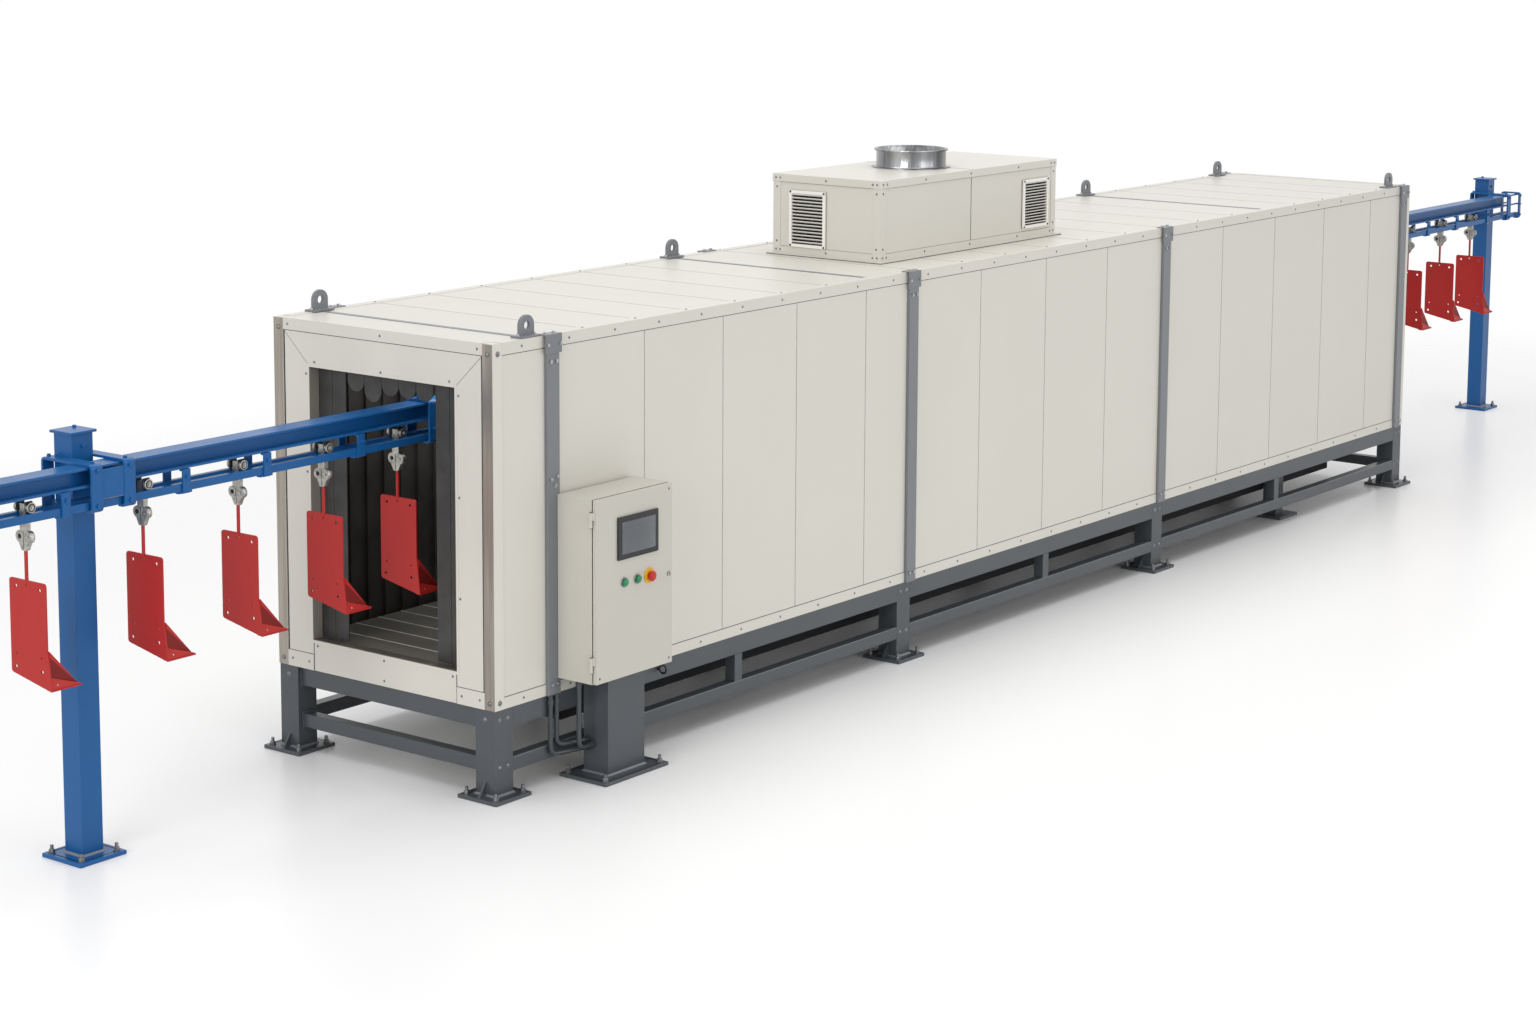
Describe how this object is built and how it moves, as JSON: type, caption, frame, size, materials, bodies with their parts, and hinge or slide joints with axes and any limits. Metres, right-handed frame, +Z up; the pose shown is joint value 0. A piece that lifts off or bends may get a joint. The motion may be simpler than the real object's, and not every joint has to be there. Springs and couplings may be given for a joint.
{
  "type": "conveyor curing oven",
  "caption": "Insulated tunnel oven on a steel base, with an overhead carrier line running through it, a roof fan housing with a round exhaust spigot, and a control cabinet on a pedestal.",
  "frame": {"origin": "on the ground, on the tunnel's centre line, midway between the two entry feet", "axes": "+X along the carrier line from entry to exit, operator side and control cabinet towards -Y, +Z up"},
  "size_m": [12.49, 1.448, 2.212],
  "materials": {
    "panel_white": "satin off-white powder coat",
    "cabinet_white": "satin off-white powder coat",
    "frame_grey": "satin slate grey paint",
    "strap_grey": "semi gloss grey paint",
    "trim_steel": "brushed stainless steel",
    "line_blue": "gloss blue enamel",
    "carrier_red": "semi gloss red paint",
    "cast_grey": "zinc-plated casting",
    "wheel_dark": "dark oiled steel",
    "louvre_dark": "off-white blades",
    "spigot_steel": "bright stainless steel",
    "lining_dark": "dark heat-stained sheet",
    "curtain_dark": "dark heat-proof strip",
    "screen_black": "dark glass in a plastic bezel",
    "button_green": "translucent green plastic",
    "bezel_chrome": "chrome-plated ring",
    "collar_yellow": "yellow plastic",
    "stop_red": "red plastic",
    "conduit_dark": "dark grey coated steel",
    "zinc_steel": "zinc-plated steel"
  },
  "bodies": {
    "oven": {"base_legs": "frame_grey", "belly_duct": "frame_grey", "body_hinge_leaves": "zinc_steel", "cabinet_body": "cabinet_white", "cabinet_pedestal": "frame_grey", "cabinet_rails": "zinc_steel", "cable_conduits": "conduit_dark", "carrier_rails": "line_blue", "corner_angles": "trim_steel", "cross_beams": "frame_grey", "edge_trims": "panel_white", "end_curtains": "curtain_dark", "end_frames": "line_blue", "end_louvre": "louvre_dark", "end_rails": "frame_grey", "entry_header": "panel_white", "entry_jambs": "panel_white", "entry_sill": "panel_white", "exhaust_spigot": "spigot_steel", "exit_header": "panel_white", "exit_jambs": "panel_white", "exit_sill": "panel_white", "fan_flange": "panel_white", "fan_frame": "panel_white", "fan_housing": "panel_white", "fan_lid": "panel_white", "far_wall_panels": "panel_white", "floor_lining": "lining_dark", "floor_panels": "panel_white", "lifting_lugs": "strap_grey", "line_posts": "line_blue", "lower_rails": "frame_grey", "mounting_plate": "zinc_steel", "near_wall_panels": "panel_white", "overhead_track": "line_blue", "pan_feet": "frame_grey", "portal_trims": "panel_white", "post_yokes": "line_blue", "rail_hangers": "line_blue", "roof_joint_strips": "strap_grey", "roof_panels": "panel_white", "side_beams": "frame_grey", "side_linings": "lining_dark", "side_louvre": "louvre_dark", "strap_caps": "strap_grey", "stub_posts": "frame_grey", "trolley_wheels": "wheel_dark", "trolleys": "cast_grey", "tunnel_yokes": "line_blue", "wall_straps": "strap_grey", "work_carriers": "carrier_red"},
    "control_door": {"cabinet_door": "cabinet_white", "door_hinge_leaves": "zinc_steel", "touch_screen": "screen_black", "button_bezels": "bezel_chrome", "stop_collar": "collar_yellow", "door_lock": "zinc_steel"},
    "start_button": {"start_button": "button_green"},
    "reset_button": {"reset_button": "button_green"},
    "stop_button": {"stop_button": "stop_red"}
  },
  "joints": [
    {"name": "control_door_hinge", "type": "hinge", "parent": "oven", "child": "control_door", "pos_m": [0.284, -0.7705, 0.7735], "axis": [0, 0, -1], "range_deg": [0, 110]},
    {"name": "start_button_press", "type": "slide", "parent": "control_door", "child": "start_button", "axis": [0, 1, 0], "range_m": [0, 0.004], "stiffness_N_per_m": 400, "springref_m": -0.004},
    {"name": "reset_button_press", "type": "slide", "parent": "control_door", "child": "reset_button", "axis": [0, 1, 0], "range_m": [0, 0.004], "stiffness_N_per_m": 400, "springref_m": -0.004},
    {"name": "stop_button_press", "type": "slide", "parent": "control_door", "child": "stop_button", "axis": [0, 1, 0], "range_m": [0, 0.004], "stiffness_N_per_m": 600, "springref_m": -0.004}
  ]
}
